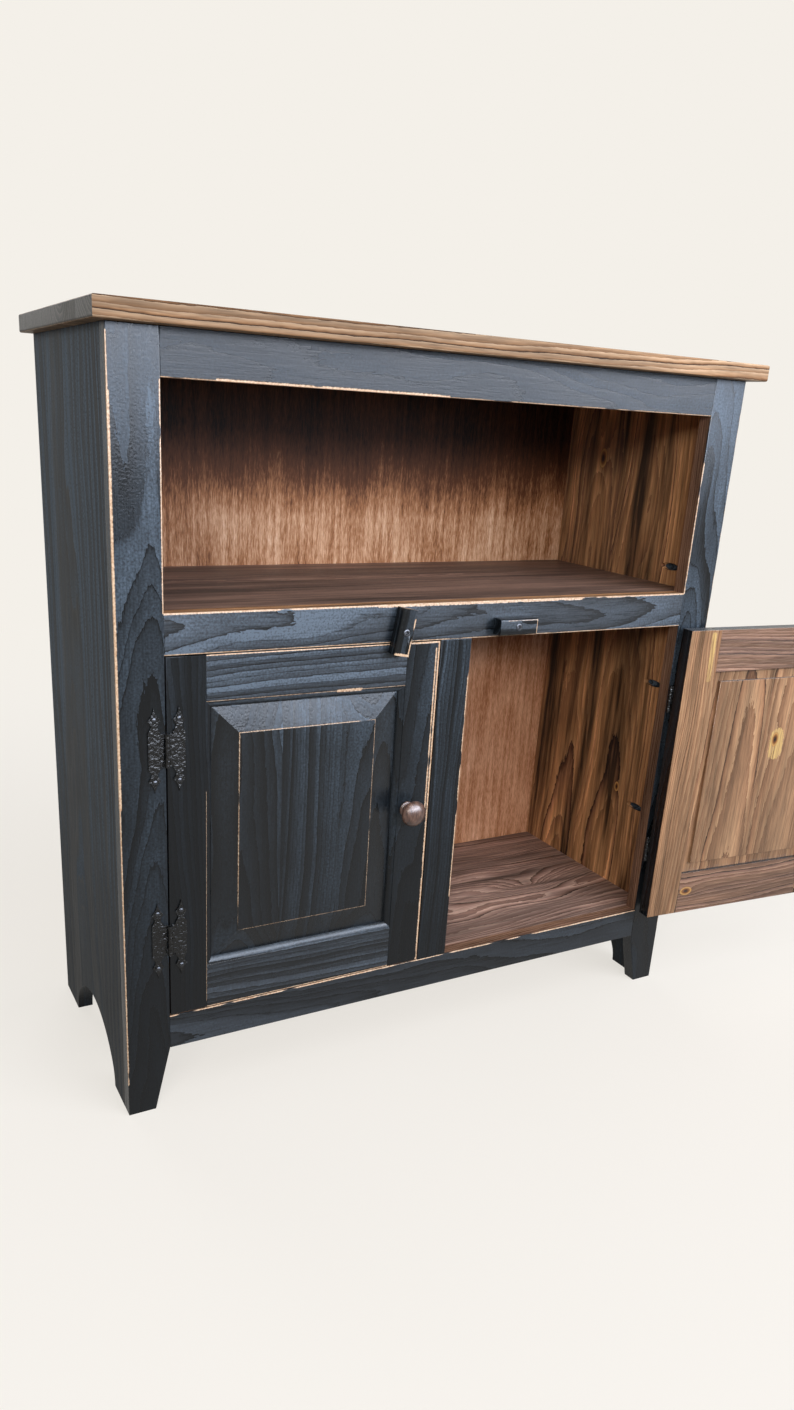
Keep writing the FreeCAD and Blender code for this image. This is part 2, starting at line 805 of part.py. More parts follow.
def hinge_leaf(leaf, side, knuckles):
    """One leaf, flat on its board, with its knuckles curled round the pin."""
    outer = d.pin_out - d.leaf_thick
    leaf.pad("XZ", outer, d.pin_out, leaf_outline(side))
    tab = d.barrel_radius + 3 * d.knuckle_play
    pitch = 2 * d.barrel_half / KNUCKLES
    for number in knuckles:
        low = number * pitch - d.barrel_half + (d.knuckle_play / 2 if number else 0)
        high = (number + 1) * pitch - d.barrel_half - (d.knuckle_play / 2 if number < KNUCKLES - 1 else 0)
        leaf.pad("XY", low, high, Ring(0, 0, d.barrel_radius))
        root_loop = box(0, d.pin_radius + 3 * d.knuckle_play, tab, d.pin_out)
        leaf.pad("XY", low, high, root_loop if side > 0 else flipped(root_loop))
    leaf.cut("XY", -d.barrel_half - 1, d.barrel_half + 1, Ring(0, 0, d.pin_radius + d.pin_play))
    holes = [square(side * d.leaf_centre, nail, nail_hole) for nail in (-d.nail_height, d.nail_height)]
    leaf.cut("XZ", outer - 1, d.pin_out + 1, *holes)


def hinge_pin(pin):
    """A rod through all the knuckles, staked at both ends."""
    end = d.barrel_half + d.pin_proud
    pin.pad("XY", -end, end, Ring(0, 0, d.pin_radius))


def hinge_nails(nails, side):
    """Two forged nails through a leaf into the board under it: a hammered head on a square shank."""
    outer = d.pin_out - d.leaf_thick
    across = side * d.leaf_centre
    for height in (-d.nail_height, d.nail_height):
        brim = octagon(across, height, d.nail_head)
        crown = octagon(across, height, d.nail_crown)
        nails.loft("XZ", (outer, brim), (outer - d.nail_head_out, crown))
        nails.pad("XZ", outer, d.pin_out + d.nail_bite - 1, square(across, height, d.nail_side))


def hinges(door):
    for place, height in hinge_heights.items():
        hinge_leaf(door.fixed_piece(f"{place}_hinge_frame_leaf", height), -1, range(0, KNUCKLES, 2))
        hinge_leaf(door.piece(f"{place}_hinge_door_leaf", height), 1, range(1, KNUCKLES, 2))
        hinge_pin(door.fixed_piece(f"{place}_hinge_pin", height))
        hinge_nails(door.fixed_piece(f"{place}_hinge_frame_nails", height), -1)
        hinge_nails(door.piece(f"{place}_hinge_door_nails", height), 1)


# ---- turn buttons: drawn upright about the pivot screw ----

button_places = {
    "left": d.case_width / 2 - d.button_offset,
    "right": d.case_width / 2 + d.button_offset,
}
button_leans = {"left": d.left_button_lean, "right": d.right_button_lean}
button_front = -d.button_gap - d.button_thick
button_hole = d.button_screw_radius + d.button_play
sink = d.button_screw_head - d.button_screw_radius


def turn_button(name):
    """A block with eased front edges and a countersunk hole."""
    block = Piece(
        f"{name}_turn_button",
        at=(button_places[name], 0, button_z),
        turn=button_leans[name],
        axis=(0, 1, 0),
    )
    half = d.button_half_width
    ease = d.button_ease
    section = [
        (-half, -d.button_gap),
        (-half, button_front + ease),
        (ease - half, button_front, ease),
        (half - ease, button_front),
        (half, button_front + ease, ease),
        (half, -d.button_gap),
    ]
    block.pad("XY", -d.button_half_length, d.button_half_length, section)
    mouth = d.button_screw_head + 2 * d.button_gap
    hole = [
        (0, button_front - 1),
        (mouth, button_front - 1),
        (mouth, button_front),
        (button_hole, button_front + mouth - button_hole),
        (button_hole, 1),
        (0, 1),
    ]
    block.bore("XY", as_size(0), (0, 0), hole)


def turn_button_screw(name):
    """The countersunk screw that the button turns on."""
    screw = Piece(f"{name}_turn_button_screw", at=(button_places[name], 0, button_z))
    tip = d.button_screw_bite - 1
    profile = [
        (0, button_front + d.button_gap),
        (d.button_screw_head, button_front + d.button_gap),
        (d.button_screw_radius, button_front + d.button_gap + sink),
        (d.button_screw_radius, tip),
        (0, tip),
    ]
    screw.revolve("XY", as_size(0), (0, 0), profile)


# ---- the whole cupboard ----

side_panel("side_panel_left", 1)
side_panel("side_panel_right", -1)
shelf("shelf_middle", mid_rail_top)
shelf("shelf_bottom", rail_top)
back_panel()
back_panel_brads()
top_board()
top_brads()
face_frame()
pocket_screws("pocket_screws_left", 1)
pocket_screws("pocket_screws_right", -1)
for door in (DoorSide("left", 1, None), DoorSide("right", -1, d.right_open_angle)):
    door_frame(door)
    door_panel(door)
    knob(door)
    knob_screw(door)
    hinges(door)
for side_name in button_places:
    turn_button(side_name)
    turn_button_screw(side_name)

doc.recompute()

bodies = [o for o in doc.Objects if o.TypeId == "PartDesign::Body"]
for item in doc.Objects:
    if "Invalid" in item.State or "Error" in item.State:
        raise RuntimeError(f"{item.Label} could not be computed")
    if item.TypeId == "Sketcher::SketchObject" and not item.FullyConstrained:
        raise RuntimeError(f"{item.Label} is not fully dimensioned")
    if item.TypeId in ("PartDesign::Pocket", "PartDesign::Groove"):
        if item.Shape.Volume > item.BaseFeature.Shape.Volume - 1:
            raise RuntimeError(f"{item.Label} cuts nothing")
for body in bodies:
    if body.Shape.isNull() or not body.Shape.isValid():
        raise RuntimeError(f"{body.Label} has no sound shape")

os.makedirs("parts", exist_ok=True)
for body in bodies:
    body.Shape.exportStep(f"parts/{body.Label}.step")
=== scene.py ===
import json
import math

import bmesh
import bpy
from mathutils import Matrix, Vector


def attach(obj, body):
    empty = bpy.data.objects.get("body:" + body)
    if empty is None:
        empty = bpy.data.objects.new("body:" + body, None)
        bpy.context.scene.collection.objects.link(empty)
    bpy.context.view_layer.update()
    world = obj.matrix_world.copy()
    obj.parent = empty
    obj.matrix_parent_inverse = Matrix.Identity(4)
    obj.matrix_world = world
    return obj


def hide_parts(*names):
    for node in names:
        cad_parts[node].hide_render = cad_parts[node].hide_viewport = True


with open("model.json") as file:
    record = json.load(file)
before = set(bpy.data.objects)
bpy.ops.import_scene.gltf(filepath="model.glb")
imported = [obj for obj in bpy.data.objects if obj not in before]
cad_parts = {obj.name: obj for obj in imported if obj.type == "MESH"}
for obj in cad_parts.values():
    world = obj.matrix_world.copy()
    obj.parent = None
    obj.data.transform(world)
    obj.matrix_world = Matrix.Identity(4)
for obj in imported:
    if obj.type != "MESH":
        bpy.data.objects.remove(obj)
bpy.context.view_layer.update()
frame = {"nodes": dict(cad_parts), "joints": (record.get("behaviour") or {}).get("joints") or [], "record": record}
nodes = frame["nodes"]
record = frame["record"]
joints = {joint["name"]: joint for joint in frame["joints"]}
body_of = {name: body for body, names in record["behaviour"]["bodies"].items() for name in names}

scene = bpy.context.scene
scene.view_settings.view_transform = "Standard"

METRE = 1000
MM = 1 / METRE
X, Y, Z = 0, 1, 2
LOW, HIGH = 0, 1


# ---- shut and rest places ----
# Doors and buttons are described as they stand when all is shut, and turn with their CAD solids to the rest
# place: the right door 175 degrees open, the left button 10 degrees off upright, the right one level.

hinge = joints["right_door_hinge"]
SHUT_TURNS = {
    "right_door": (hinge["pos_m"], hinge["axis"], math.radians(175)),
    "left_turn_button": (joints["left_button_pivot"]["pos_m"], (0, 1, 0), math.radians(10)),
    "right_turn_button": (joints["right_button_pivot"]["pos_m"], (0, 1, 0), math.radians(-90)),
}


def to_rest(body):
    """The matrix that takes a body's pieces from the shut place to the rest place."""
    if body not in SHUT_TURNS:
        return Matrix.Identity(4)
    centre, axis, angle = SHUT_TURNS[body]
    there = Matrix.Translation(centre)
    return there @ Matrix.Rotation(angle, 4, Vector(axis)) @ there.inverted()


def shut_points(name):
    """A CAD node's corners in the shut place, in millimetres."""
    back = to_rest(body_of[name]).inverted()
    return [back @ vertex.co * METRE for vertex in nodes[name].data.vertices]


def extent(points):
    """The lowest and highest corner of a set of points."""
    return tuple(Vector([pick(p[axis] for p in points) for axis in range(3)]) for pick in (min, max))


def face_extent(name):
    """The box of a board's front face, so without tenons, with the board's full thickness behind it."""
    points = shut_points(name)
    low, high = extent(points)
    face_low, face_high = extent([p for p in points if p.y < low.y + 0.2])
    return Vector((face_low.x, low.y, face_low.z)), Vector((face_high.x, high.y, face_high.z))


# ---- camera ----

def place_camera():
    """A metre in front of the left end and a little below the top, looking to the right and down."""
    lens = bpy.data.cameras.new("camera")
    camera = bpy.data.objects.new("camera", lens)
    scene.collection.objects.link(camera)
    yaw, pitch, roll = math.radians(29.61), math.radians(-19.52), math.radians(3.35)
    ahead = Vector((math.sin(yaw) * math.cos(pitch), math.cos(yaw) * math.cos(pitch), math.sin(pitch)))
    level = Vector((math.cos(yaw), -math.sin(yaw), 0))
    steep = level.cross(ahead)
    right = level * math.cos(roll) + steep * math.sin(roll)
    up = steep * math.cos(roll) - level * math.sin(roll)
    turn = Matrix((right, up, -ahead)).transposed()
    eye = (-0.253, -0.9838, 0.7788)
    camera.matrix_world = Matrix.Translation(eye) @ turn.to_4x4()
    lens.sensor_fit = "HORIZONTAL"
    lens.sensor_width = 36
    lens.lens = 46.23
    lens.shift_x = 0.0232
    lens.shift_y = 0.0942
    scene.camera = camera


# ---- nodes ----

def shade(hex_code):
    """An sRGB hex colour as linear RGBA."""
    levels = [int(hex_code[i:i + 2], 16) / 255 for i in (1, 3, 5)]
    return (*[c / 12.92 if c <= 0.04045 else ((c + 0.055) / 1.055) ** 2.4 for c in levels], 1)


def add(tree, kind, inputs=(), stops=(), **settings):
    """Add a node. Each input is a value, a socket, or a node whose first live output feeds it."""
    made = tree.nodes.new("ShaderNode" + kind)
    for setting, value in settings.items():
        setattr(made, setting, value)
    if stops:
        made.color_ramp.elements.remove(made.color_ramp.elements[0])
        for spot, (position, colour) in enumerate(stops):
            stop = made.color_ramp.elements[0] if spot == 0 else made.color_ramp.elements.new(position)
            stop.position = position
            stop.color = shade(colour)
    live = [socket for socket in made.inputs if socket.enabled]
    named = inputs.items() if isinstance(inputs, dict) else enumerate(inputs)
    for key, value in named:
        socket = live[key] if isinstance(key, int) else next(s for s in live if s.name == key)
        if isinstance(value, bpy.types.Node):
            value = next(s for s in value.outputs if s.enabled)
        if isinstance(value, bpy.types.NodeSocket):
            tree.links.new(value, socket)
        elif value is not None:
            socket.default_value = value
    return made


def new_group(name, takes, gives):
    """An empty node group with its sockets: the tree, what comes in, and the node where it goes out."""
    tree = bpy.data.node_groups.new(name, "ShaderNodeTree")
    for direction, sockets in (("INPUT", takes), ("OUTPUT", gives)):
        for socket, kind in sockets.items():
            tree.interface.new_socket(socket, in_out=direction, socket_type="NodeSocket" + kind)
    return tree, tree.nodes.new("NodeGroupInput").outputs, tree.nodes.new("NodeGroupOutput")


def new_material(name):
    """An empty node material: its tree and its Principled shader."""
    material = bpy.data.materials.new(name)
    material.use_nodes = True
    tree = material.node_tree
    return material, tree, tree.nodes["Principled BSDF"]


def noise(tree, place, sizes, detail, roughness=0.5):
    """Noise whose patches have these sizes along the three axes, in millimetres."""
    scaled = add(tree, "VectorMath", [place, [1 / size for size in sizes]], operation="MULTIPLY")
    return add(tree, "TexNoise", {"Vector": scaled, "Scale": 1, "Detail": detail, "Roughness": roughness})


def emboss(tree, surface, height, depth):
    """Shade a surface as if this pattern were relief of this depth, in millimetres."""
    bump = add(tree, "Bump", {"Height": height, "Distance": depth * MM, "Strength": 1})
    tree.links.new(bump.outputs[0], surface.inputs["Normal"])


# ---- wood figure ----

SEED_STEP = (1370, 710, 530)  # longer than any board, so that different seeds give different wood


def make_figure():
    """Growth rings of a sawn pine board: tapered cones about a pith that wanders, cut by the board's faces.

    They show as close stripes where the cut is steep, tall arches where it is flat, arcs on the end grain."""
    takes = {"Place": "Vector", "Pith": "Vector", "Taper": "Float", "Spacing": "Float", "Wander": "Float",
             "Swell": "Float", "Seed": "Float"}
    gives = {"Ring": "Float", "Tone": "Float", "Fibre": "Float"}
    tree, given, result = new_group("pine figure", takes, gives)
    moved = add(tree, "VectorMath", [given["Seed"], SEED_STEP, given["Place"]], operation="MULTIPLY_ADD")
    slow = add(tree, "Math", [noise(tree, moved, (260, 60, 60), 1.5), 0.5], operation="SUBTRACT")
    from_pith = add(tree, "VectorMath", [given["Place"], given["Pith"]], operation="SUBTRACT")
    along = add(tree, "SeparateXYZ", [from_pith]).outputs["X"]
    level = add(tree, "VectorMath", [from_pith, (0, 1, 1)], operation="MULTIPLY")
    radius = add(tree, "VectorMath", [level], operation="LENGTH")
    radius = add(tree, "Math", [along, given["Taper"], radius], operation="MULTIPLY_ADD")
    radius = add(tree, "Math", [slow, given["Wander"], radius], operation="MULTIPLY_ADD")
    radius = add(tree, "Math", [radius, given["Swell"]], operation="ADD")
    jag = noise(tree, moved, (11, 2.6, 2.6), 1)
    uneven = add(tree, "TexNoise", {"W": radius, "Scale": 1 / 24, "Detail": 1}, noise_dimensions="1D")
    rings = add(tree, "Math", [radius, given["Spacing"]], operation="DIVIDE")
    rings = add(tree, "Math", [jag, 0.3, rings], operation="MULTIPLY_ADD")
    rings = add(tree, "Math", [uneven, 2.6, rings], operation="MULTIPLY_ADD")
    ring = add(tree, "Math", [rings], operation="FRACT")
    count = add(tree, "Math", [rings], operation="FLOOR")
    tone = add(tree, "TexWhiteNoise", {"W": add(tree, "Math", [count, given["Seed"]])}, noise_dimensions="1D")
    fibre = noise(tree, moved, (40, 1.9, 1.9), 2, 0.6)
    tree.links.new(ring.outputs[0], result.inputs["Ring"])
    tree.links.new(tone.outputs["Value"], result.inputs["Tone"])
    tree.links.new(fibre.outputs[0], result.inputs["Fibre"])
    return tree


def make_worn_line():
    """Bare wood along one edge: ragged in width, and broken where the sandpaper missed."""
    takes = {"Place": "Vector", "Start": "Vector", "End": "Vector", "Width": "Float", "Share": "Float",
             "Rag": "Float", "Patch": "Float"}
    tree, given, result = new_group("worn edge", takes, {"Worn": "Float"})
    run = add(tree, "VectorMath", [given["End"], given["Start"]], operation="SUBTRACT")
    reach = add(tree, "VectorMath", [given["Place"], given["Start"]], operation="SUBTRACT")
    share = add(tree, "Math", [add(tree, "VectorMath", [reach, run], operation="DOT_PRODUCT"),
                               add(tree, "VectorMath", [run, run], operation="DOT_PRODUCT")],
                operation="DIVIDE", use_clamp=True)
    back = add(tree, "Math", [share, -1], operation="MULTIPLY")
    off_line = add(tree, "VectorMath", [back, run, reach], operation="MULTIPLY_ADD")
    distance = add(tree, "VectorMath", [off_line], operation="LENGTH")
    missed = add(tree, "Math", [1, given["Share"]], operation="SUBTRACT")
    kept = add(tree, "Math", [given["Patch"], missed], operation="SUBTRACT")
    kept = add(tree, "MapRange", {"Value": kept, "From Min": -0.3, "From Max": 0})
    ragged = add(tree, "Math", [given["Rag"], 0.6, 0.7], operation="MULTIPLY_ADD")
    width = add(tree, "Math", [add(tree, "Math", [kept, given["Width"]], operation="MULTIPLY"), ragged],
                operation="MULTIPLY")
    spare = add(tree, "Math", [width, distance], operation="SUBTRACT")
    worn = add(tree, "MapRange", {"Value": spare, "From Min": 0, "From Max": 0.7})
    tree.links.new(worn.outputs[0], result.inputs["Worn"])
    return tree


FIGURE = make_figure()
WORN_LINE = make_worn_line()


def shut_place(tree, body):
    """Where a point of the piece lies in the shut place, in millimetres."""
    place = add(tree, "TexCoord").outputs["Object"]
    if body in SHUT_TURNS:
        centre, axis, angle = SHUT_TURNS[body]
        place = add(tree, "VectorRotate", {"Vector": place, "Center": centre, "Axis": axis, "Angle": -angle},
                    rotation_type="AXIS_ANGLE")
    return add(tree, "VectorMath", [place, METRE], operation="SCALE")


# How far broad bands along the grain darken each stain, as a share of it. They lighten it by a third as much.
BANDS = {"walnut": 0.92, "shelf": 0.8, "milky": 0.5, "rail": 0.5, "dusty": 0.75, "oak": 0.4}
STAINS = {
    # dark walnut stain: the soft early wood drinks it, the hard late wood stays golden
    "walnut": [(0, "#D2A070"), (0.3, "#BC8A5E"), (0.7, "#9A6E50"), (0.88, "#5E3D2B"), (1, "#22150F")],
    "shelf": [(0, "#947767"), (0.25, "#806455"), (0.65, "#664C41"), (0.87, "#3E2B25"), (1, "#1A110F")],
    "milky": [(0, "#B38E6C"), (0.3, "#A67F5F"), (0.7, "#8E684C"), (0.88, "#5C3E2B"), (1, "#2C1B14")],
    "rail": [(0, "#96755D"), (0.3, "#856450"), (0.7, "#6C4D3C"), (0.88, "#432D22"), (1, "#1E140F")],
    "dusty": [(0, "#B89D8C"), (0.25, "#A5877A"), (0.65, "#836659"), (0.87, "#523E35"), (1, "#241A16")],
    "oak": [(0, "#C4A88B"), (0.2, "#B8997B"), (0.6, "#A07C5C"), (0.85, "#745236"), (1, "#3C2A1C")],
}


def board_material(name, grain, pith, taper=0.02, spacing=3.6, wander=5, seed=1, stain="walnut",
                   strips=(), knots=(), swirls=(), paint=(), haze=0.5, figured=1, wear=(), sap=(),
                   gloss=0.45, shine=0.25):
    """Pine board under stain or paint. All lengths are in millimetres.

    grain is the axis that the grain runs along, followed by y where the board's width lies along Y. pith is
    where the tree's heart lies off the board's middle, as (across, deep). taper, spacing and wander describe
    the rings. strips lists further boards glued on along the first, as (where it starts across, its pith).
    knots are (along, across, radius), and swirls, in the same way, are where the saw passed close by a knot.

    paint lists the faces under satin black, as (axis, end, depth), haze scales how grey the sanded paint
    and its painted sheen are drawn, and figured how much of the ring figure it shows. wear lists the edges
    rubbed to bare wood, as (start, end, width, share) with the ends as shares of the front face's box, and sap
    the streaks of pale sapwood in the same way. gloss is the finish's roughness, shine how much it reflects."""
    low, high = face_extent(name)
    middle = (low + high) / 2
    material, tree, surface = new_material("painted pine " + name if paint else "stained pine " + name)
    place = shut_place(tree, body_of[name])
    local = add(tree, "VectorMath", [place, middle], operation="SUBTRACT")
    sides = add(tree, "SeparateXYZ", [local]).outputs
    order = {"x": (X, Z, Y), "z": (Z, X, Y), "xy": (X, Y, Z), "zy": (Z, Y, X)}[grain]
    lengthwise = add(tree, "CombineXYZ", [sides[axis] for axis in order])
    across = sides[order[1]]
    heart = add(tree, "CombineXYZ", [0, *pith])
    mixed_seed = seed
    for start, strip_pith in strips:
        beyond = add(tree, "Math", [across, start], operation="GREATER_THAN")
        heart = add(tree, "Mix", [beyond, heart, (0, *strip_pith)], data_type="VECTOR")
        mixed_seed = add(tree, "Math", [beyond, 7, mixed_seed], operation="MULTIPLY_ADD")
    swell, core = 0, None
    for spot in (*knots, *swirls):
        knot_along, knot_across, size = spot
        off = add(tree, "VectorMath", [lengthwise, (knot_along, knot_across, 0)], operation="SUBTRACT")
        off = add(tree, "VectorMath", [off, (0.6 / size, 1 / size, 0)], operation="MULTIPLY")
        away = add(tree, "VectorMath", [off], operation="LENGTH")
        fall = add(tree, "Math", [away, -0.8], operation="MULTIPLY")
        hill = add(tree, "Math", [2.7, fall], operation="POWER")
        swell = add(tree, "Math", [hill, size * 1.3, swell], operation="MULTIPLY_ADD")
        if spot in knots:
            core = away if core is None else add(tree, "Math", [core, away], operation="MINIMUM")
    figure = add(tree, "Group", {"Place": lengthwise, "Pith": heart, "Taper": taper, "Spacing": spacing,
                                 "Wander": wander * 4, "Swell": swell, "Seed": mixed_seed}, node_tree=FIGURE)
    ring, tone, fibre = (figure.outputs[socket] for socket in ("Ring", "Tone", "Fibre"))

    # some rings drank little stain and some turned nearly black
    strength = add(tree, "Math", [tone, 0.8, 0.35], operation="MULTIPLY_ADD")
    depth = add(tree, "Math", [ring, strength], operation="MULTIPLY")
    stained = add(tree, "ValToRGB", [depth], stops=STAINS[stain])
    streak = add(tree, "Math", [tone, 0.4, 0.76], operation="MULTIPLY_ADD")
    streak = add(tree, "Math", [add(tree, "Math", [fibre, 1.5, 0.25], operation="MULTIPLY_ADD"), streak],
                 operation="MULTIPLY")
    band = noise(tree, lengthwise, (380, 22, 22), 4, 0.6)
    band = add(tree, "MapRange", {"Value": band, "From Min": 0.35, "From Max": 0.65,
                                  "To Min": 1 - BANDS[stain], "To Max": 1 + BANDS[stain] / 3})
    colour = add(tree, "Mix", [1, stained, streak], data_type="RGBA", blend_type="MULTIPLY")
    colour = add(tree, "Mix", [1, colour, band], data_type="RGBA", blend_type="MULTIPLY")
    facing = add(tree, "TexCoord").outputs["Normal"]
    grain_axis = {"x": (1, 0, 0), "z": (0, 0, 1)}[grain[0]]
    end_on = add(tree, "VectorMath", [facing, grain_axis], operation="DOT_PRODUCT")
    end_on = add(tree, "Math", [end_on], operation="ABSOLUTE")
    end_on = add(tree, "MapRange", {"Value": end_on, "From Min": 0.6, "From Max": 0.9})
    end_stain = add(tree, "ValToRGB", [ring], stops=[(0, "#4A4740"), (0.55, "#262522"), (1, "#090908")])
    colour = add(tree, "Mix", [end_on, colour, end_stain], data_type="RGBA")
    rag = add(tree, "TexNoise", {"Vector": place, "Scale": 1 / 2.6, "Detail": 2})
    patch = add(tree, "TexNoise", {"Vector": place, "Scale": 1 / 38, "Detail": 1})
    patch = add(tree, "MapRange", {"Value": patch, "From Min": 0.33, "From Max": 0.67})

    def drawn(lines):
        """How much of a point these lines cover, from 0 to 1."""
        share_of_all = 0
        for start, end, width, share in lines:
            ends = [[low[i] + (high[i] - low[i]) * spot[i] for i in range(3)] for spot in (start, end)]
            line = add(tree, "Group", node_tree=WORN_LINE)
            for socket, value in (("Start", ends[0]), ("End", ends[1]), ("Width", width), ("Share", share)):
                line.inputs[socket].default_value = value
            for socket, source in (("Place", place), ("Rag", rag), ("Patch", patch)):
                tree.links.new(source.outputs[0], line.inputs[socket])
            share_of_all = add(tree, "Math", [share_of_all, line], operation="MAXIMUM")
        return share_of_all

    if sap:
        pale = add(tree, "Math", [drawn(sap), add(tree, "Math", [fibre, 3, -0.9], operation="MULTIPLY_ADD")],
                   operation="MULTIPLY", use_clamp=True)
        colour = add(tree, "Mix", [pale, colour, shade("#D8B677")], data_type="RGBA")

    if knots:
        heartwood = add(tree, "ValToRGB", [core], stops=[
            (0, "#1B0F0A"), (0.25, "#3A2114"), (0.55, "#8A5A30"), (0.8, "#C79A5C"), (1, "#7A4A28")])
        inside = add(tree, "MapRange", {"Value": core, "From Min": 1, "From Max": 0.85})
        colour = add(tree, "Mix", [inside, colour, heartwood], data_type="RGBA")
    height = add(tree, "Math", [fibre, 0.14], operation="MULTIPLY")
    roughness = add(tree, "Math", [fibre, 0.25, gloss - 0.12], operation="MULTIPLY_ADD")
    surface.inputs["Specular IOR Level"].default_value = shine
    if paint:
        # each ring has its own grey, fading to a dark ragged rim
        plate = add(tree, "Math", [tone, 1.3, 0.25], operation="MULTIPLY_ADD")
        plate = add(tree, "Math", [ring, -0.5, plate], operation="MULTIPLY_ADD")
        rim = add(tree, "MapRange", {"Value": ring, "From Min": 0.82, "From Max": 0.97})
        rim = add(tree, "Math", [rim, tone], operation="MULTIPLY")
        plate = add(tree, "Math", [rim, -0.8, plate], operation="MULTIPLY_ADD")
        plate = add(tree, "Mix", [figured, 0.6, plate], data_type="FLOAT")
        tooth = add(tree, "Math", [rag, 3.2, -0.6], operation="MULTIPLY_ADD")
        height = add(tree, "Math", [rag, 0.12, height], operation="MULTIPLY_ADD")
        # the paint is drawn paler with height above the floor: a painted sheen for the light upper faces catch,
        # on top of the grey of the sanded paint
        here = add(tree, "SeparateXYZ", [place]).outputs
        sanding_and_painted_sheen = add(tree, "MapRange", {"Value": here["Z"], "From Min": 60, "From Max": 820,
                                         "To Min": 0.1, "To Max": 1}, interpolation_type="SMOOTHSTEP")
        cloud = add(tree, "TexNoise", {"Vector": place, "Scale": 1 / 90, "Detail": 6, "Roughness": 0.6})
        cloud = add(tree, "Math", [cloud, 2.4, -0.2], operation="MULTIPLY_ADD")
        sanding_and_painted_sheen = add(tree, "Math", [sanding_and_painted_sheen, cloud], operation="MULTIPLY")
        sanding_and_painted_sheen = add(tree, "Math", [sanding_and_painted_sheen, haze], operation="MULTIPLY", use_clamp=True)
        for pattern in (plate, tooth, streak):
            sanding_and_painted_sheen = add(tree, "Math", [sanding_and_painted_sheen, pattern], operation="MULTIPLY", use_clamp=True)
        # the pale grey is tinted blue: a painted sky reflection on the satin black
        coat = add(tree, "Mix", [sanding_and_painted_sheen, shade("#070B0F"), shade("#4B5865")], data_type="RGBA")
        roughness = add(tree, "Math", [fibre, 0.2, gloss - 0.3], operation="MULTIPLY_ADD")
        roughness = add(tree, "Math", [plate, 0.14, roughness], operation="MULTIPLY_ADD")
        covered = 0
        for axis, end, depth in paint:
            limit = (low, high)[end][axis] + (depth if end == LOW else -depth)
            within = add(tree, "Math", [limit, here[axis]] if end == LOW else [here[axis], limit],
                         operation="SUBTRACT")
            within = add(tree, "MapRange", {"Value": within, "From Min": -0.3, "From Max": 0.3})
            covered = add(tree, "Math", [covered, within], operation="MAXIMUM")
        colour = add(tree, "Mix", [covered, colour, coat], data_type="RGBA")
        if wear:
            worn = drawn(wear)
            bare = add(tree, "ValToRGB", [rag], stops=[(0.3, "#C39A78"), (0.5, "#DDBB9B"), (0.7, "#ECD4B8")])
            colour = add(tree, "Mix", [worn, colour, bare], data_type="RGBA")
            height = add(tree, "Math", [worn, -0.15, height], operation="MULTIPLY_ADD")
    tree.links.new(colour.outputs[2], surface.inputs["Base Color"])
    emboss(tree, surface, add(tree, "Math", [ring, -0.22, height], operation="MULTIPLY_ADD"), 1)
    tree.links.new(roughness.outputs[0], surface.inputs["Roughness"])
    # The pores lie along the grain, so gloss spreads across it: rails catch light from above where stiles
    # stay dark. The tilt keeps the grain from lying square to any face, where the spread has no direction.
    tilt = Vector((0.013, 0.017, 0.011))
    fibres = to_rest(body_of[name]).to_3x3() @ (Vector(grain_axis) + tilt)
    fibres = add(tree, "VectorTransform", [fibres], vector_type="VECTOR",
                 convert_from="OBJECT", convert_to="WORLD")
    out = add(tree, "NewGeometry").outputs["Normal"]
    spread = add(tree, "VectorMath", [out, fibres], operation="CROSS_PRODUCT")
    tree.links.new(spread.outputs[0], surface.inputs["Tangent"])
    surface.inputs["Anisotropic"].default_value = 0.8 if paint else 0.5
    return material


# ---- boards ----

def clean_mesh(name):
    """A CAD node's surface with its seams joined and its flat faces whole."""
    shape = bmesh.new()
    shape.from_mesh(nodes[name].data)
    bmesh.ops.remove_doubles(shape, verts=shape.verts, dist=0.01 * MM)
    bmesh.ops.dissolve_limit(shape, angle_limit=math.radians(1), verts=shape.verts, edges=shape.edges)
    return shape


def finished(name, shape, material):
    """Put a finished piece in its CAD node's place."""
    mesh = bpy.data.meshes.new(name + "_finished")
    bmesh.ops.dissolve_degenerate(shape, dist=0.01 * MM, edges=shape.edges)
    shape.to_mesh(mesh)
    shape.free()
    if not mesh.polygons:
        raise ValueError(name + " came out empty")
    mesh.materials.append(material)
    piece = bpy.data.objects.new(name + "_finished", mesh)
    scene.collection.objects.link(piece)
    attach(piece, body_of[name])
    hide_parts(name)


def sanded(name, material, ease=0.8, shortest=5):
    """The board with its sharp arrises sanded round."""
    shape = clean_mesh(name)
    for face in shape.faces:
        bends = [edge.calc_face_angle(0) for edge in face.edges]
        narrow = face.calc_area() < 5 * MM * max(edge.calc_length() for edge in face.edges)
        face.smooth = narrow and any(math.radians(1) < bend < math.radians(25) for bend in bends)
    sharp = [edge for edge in shape.edges
             if len(edge.link_faces) == 2 and edge.is_convex
             and edge.calc_face_angle(0) > math.radians(35) and edge.calc_length() > shortest * MM]
    rounded = bmesh.ops.bevel(shape, geom=sharp, offset=ease * MM, segments=2, profile=0.6, affect="EDGES",
                              clamp_overlap=True)
    for face in rounded["faces"]:
        face.smooth = True
    for edge in shape.edges:
        edge.smooth = edge.calc_face_angle(0) < math.radians(50)
    finished(name, shape, material)


# How deep the black goes from a face, in millimetres: round the arrises of a board, up the feet, and through
# a piece that is black on every face but its back or inside.
WRAP, FEET, PANEL_FACE = 1.6, 118, 9
THROUGH_SIDE, THROUGH_DOOR, THROUGH_BUTTON = 17, 18, 16
BLACK_FRONT = [(Y, LOW, WRAP)]
BLACK_FEET = (Z, LOW, FEET)

